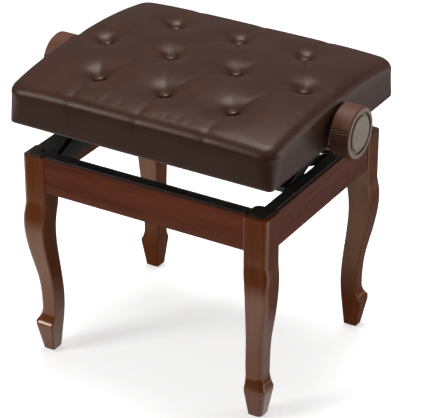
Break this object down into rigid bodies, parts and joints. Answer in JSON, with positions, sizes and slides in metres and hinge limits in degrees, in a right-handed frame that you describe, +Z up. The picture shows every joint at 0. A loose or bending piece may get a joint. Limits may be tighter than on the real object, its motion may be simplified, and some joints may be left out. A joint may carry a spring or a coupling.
{
  "type": "piano bench",
  "caption": "Height-adjustable piano bench: button-tufted vinyl seat on a screw-driven scissor lift, over a mahogany rail frame with cabriole legs and a knob at each end.",
  "frame": {"origin": "on the floor under the middle of the bench", "axes": "+X along the seat to the right-hand knob, -Y towards the player, +Z up"},
  "size_m": [0.5948, 0.4222, 0.534],
  "materials": {
    "mahogany": "gloss lacquer",
    "bare_wood": "plain",
    "vinyl": "semi-gloss grain",
    "black_steel": "black paint",
    "zinc_steel": "zinc plated",
    "knob_plastic": "satin",
    "glide_nylon": "matt",
    "bush_nylon": "matt"
  },
  "bodies": {
    "base": {"front_left_leg": "mahogany", "front_right_leg": "mahogany", "back_left_leg": "mahogany", "back_right_leg": "mahogany", "floor_glides": "glide_nylon", "front_rail": "mahogany", "back_rail": "mahogany", "left_rail": "mahogany", "right_rail": "mahogany", "front_left_brace": "bare_wood", "front_right_brace": "bare_wood", "back_left_brace": "bare_wood", "back_right_brace": "bare_wood", "leg_bolts": "zinc_steel", "leg_nuts": "zinc_steel", "lower_angle_front": "black_steel", "lower_angle_back": "black_steel", "lower_angle_left": "black_steel", "lower_angle_right": "black_steel", "front_left_ear": "black_steel", "front_right_ear": "black_steel", "back_left_ear": "black_steel", "back_right_ear": "black_steel", "frame_screws": "zinc_steel", "lower_beam": "black_steel", "strut_foot_pins": "zinc_steel"},
    "seat": {"seat_cushion": "vinyl", "tuft_buttons": "vinyl", "seat_side_front": "vinyl", "seat_side_back": "vinyl", "seat_side_left": "vinyl", "seat_side_right": "vinyl", "seat_board": "bare_wood", "upper_angle_left": "black_steel", "upper_angle_right": "black_steel", "upper_tie_front": "black_steel", "upper_tie_back": "black_steel", "seat_screws": "zinc_steel", "spindle_bushes": "bush_nylon"},
    "spindle": {"spindle": "zinc_steel", "spindle_collars": "knob_plastic", "left_knob": "knob_plastic", "right_knob": "knob_plastic", "left_knob_cap": "knob_plastic", "right_knob_cap": "knob_plastic"},
    "guide_a": {"guide_a_bar_left": "black_steel", "guide_a_bar_right": "black_steel", "guide_a_shaft": "zinc_steel", "guide_a_pivots": "zinc_steel", "guide_crossing_pins": "zinc_steel"},
    "guide_b": {"guide_b_bar_left": "black_steel", "guide_b_bar_right": "black_steel", "guide_b_shaft": "zinc_steel", "guide_b_pivots": "zinc_steel"},
    "strut_a": {"lift_strut_a": "black_steel"},
    "strut_b": {"lift_strut_b": "black_steel"},
    "nut_a": {"spindle_nut_a": "zinc_steel"},
    "nut_b": {"spindle_nut_b": "zinc_steel"}
  },
  "joints": [
    {"name": "seat_lift", "type": "slide", "parent": "base", "child": "seat", "axis": [0, 0, 1], "range_m": [-0.05, 0.04]},
    {"name": "spindle_turn", "type": "hinge", "parent": "seat", "child": "spindle", "pos_m": [0, 0, 0.474], "axis": [1, 0, 0], "range_deg": [-1460, 1170]},
    {"name": "guide_a_swing", "type": "hinge", "parent": "base", "child": "guide_a", "pos_m": [0, -0.145, 0.351], "axis": [1, 0, 0], "range_deg": [-10.5, 8.4]},
    {"name": "guide_b_swing", "type": "hinge", "parent": "seat", "child": "guide_b", "pos_m": [0, -0.145, 0.45], "axis": [-1, 0, 0], "range_deg": [-10.5, 8.4]},
    {"name": "strut_a_swing", "type": "hinge", "parent": "base", "child": "strut_a", "pos_m": [-0.125, 0, 0.369], "axis": [0, -1, 0], "range_deg": [-11.1, 8.9]},
    {"name": "strut_b_swing", "type": "hinge", "parent": "base", "child": "strut_b", "pos_m": [0.125, 0, 0.369], "axis": [0, 1, 0], "range_deg": [-11.1, 8.9]},
    {"name": "nut_a_tilt", "type": "hinge", "parent": "strut_a", "child": "nut_a", "pos_m": [0.13457, 0, 0.474], "axis": [0, 1, 0], "range_deg": [-11.1, 8.9]},
    {"name": "nut_b_tilt", "type": "hinge", "parent": "strut_b", "child": "nut_b", "pos_m": [-0.13457, 0, 0.474], "axis": [0, -1, 0], "range_deg": [-11.1, 8.9]}
  ],
  "couplings": [
    {"joint": "spindle_turn", "follows": "seat_lift", "rad_per_m": 508.3},
    {"joint": "guide_a_swing", "follows": "seat_lift", "rad_per_m": 3.65},
    {"joint": "guide_b_swing", "follows": "seat_lift", "rad_per_m": 3.65},
    {"joint": "strut_a_swing", "follows": "seat_lift", "rad_per_m": 3.853},
    {"joint": "strut_b_swing", "follows": "seat_lift", "rad_per_m": 3.853},
    {"joint": "nut_a_tilt", "follows": "seat_lift", "rad_per_m": 3.853},
    {"joint": "nut_b_tilt", "follows": "seat_lift", "rad_per_m": 3.853}
  ]
}
